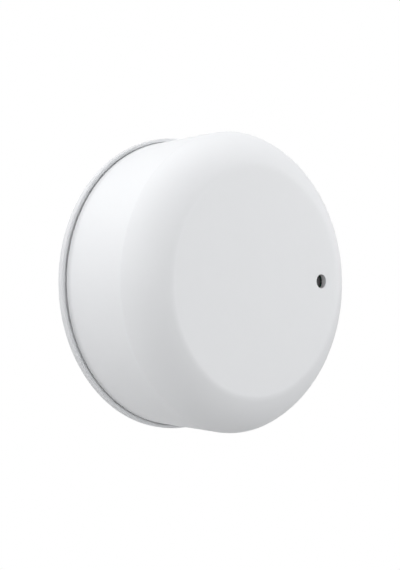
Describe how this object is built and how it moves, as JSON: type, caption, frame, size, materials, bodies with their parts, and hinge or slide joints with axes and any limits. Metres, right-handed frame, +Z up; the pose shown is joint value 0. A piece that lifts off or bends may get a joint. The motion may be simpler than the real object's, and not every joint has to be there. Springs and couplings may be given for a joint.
{
  "type": "bluetooth beacon",
  "caption": "Round white wall-mounted radio beacon: a puck with a rounded cap and pin-hole button that twists onto a slim wall plate.",
  "frame": {"origin": "centre of the wall plate's back face, where the beacon meets the wall", "axes": "+Y points into the wall along the puck's axis, the front faces -Y, +Z is up and the pin hole is at +X"},
  "size_m": [0.062, 0.0253, 0.062],
  "materials": {
    "shell_plastic": "fine satin white moulded shell",
    "plate_plastic": "satin white moulding, slightly greyer",
    "pad_foam": "light grey closed-cell foam with an adhesive face",
    "seal_rubber": "black seal rubber",
    "zinc_steel": "bright zinc",
    "label_film": "plain white film",
    "tray_plastic": "black moulding",
    "cell_can": "printed-free metal can with a plain sleeve",
    "contact_metal": "nickel-plated strip",
    "board_laminate": "green solder mask",
    "chip_plastic": "black moulded package",
    "tin_plate": "tin-plated steel",
    "plunger_plastic": "dark grey moulding",
    "ceramic": "fired ceramic",
    "ferrite": "dark ferrite",
    "light_lens": "clear yellowish lens",
    "gold_pad": "gold-plated copper"
  },
  "bodies": {
    "wall_mount": {"wall_plate": "plate_plastic", "adhesive_pad": "pad_foam"},
    "puck": {"front_housing": "shell_plastic", "rear_cover": "plate_plastic", "cover_seal": "seal_rubber", "cover_screws": "zinc_steel", "blank_label": "label_film", "battery_tray": "tray_plastic", "battery_cell_upper": "cell_can", "battery_cell_lower": "cell_can", "contact_positive": "contact_metal", "contact_negative": "contact_metal", "contact_bridge": "contact_metal", "cell_cushion": "pad_foam", "circuit_board": "board_laminate", "board_screws": "zinc_steel", "switch_body": "chip_plastic", "switch_plate": "tin_plate", "switch_dome": "contact_metal", "switch_legs": "tin_plate", "radio_module_board": "board_laminate", "radio_shield": "tin_plate", "chip_antenna": "ceramic", "radio_crystal": "tin_plate", "clock_crystal": "ceramic", "bulk_capacitor": "chip_plastic", "voltage_converter": "chip_plastic", "power_inductor": "ferrite", "motion_sensor": "chip_plastic", "status_light": "light_lens", "ceramic_capacitors": "ceramic", "chip_resistors": "chip_plastic", "test_pads": "gold_pad"},
    "button": {"button_plunger": "plunger_plastic"}
  },
  "joints": [
    {"name": "puck_twist", "type": "hinge", "parent": "wall_mount", "child": "puck", "pos_m": [0, 0, 0], "axis": [0, -1, 0], "range_deg": [0, 20]},
    {"name": "button_press", "type": "slide", "parent": "puck", "child": "button", "axis": [0, 1, 0], "range_m": [0, 0.0003], "stiffness_N_per_m": 3000}
  ]
}
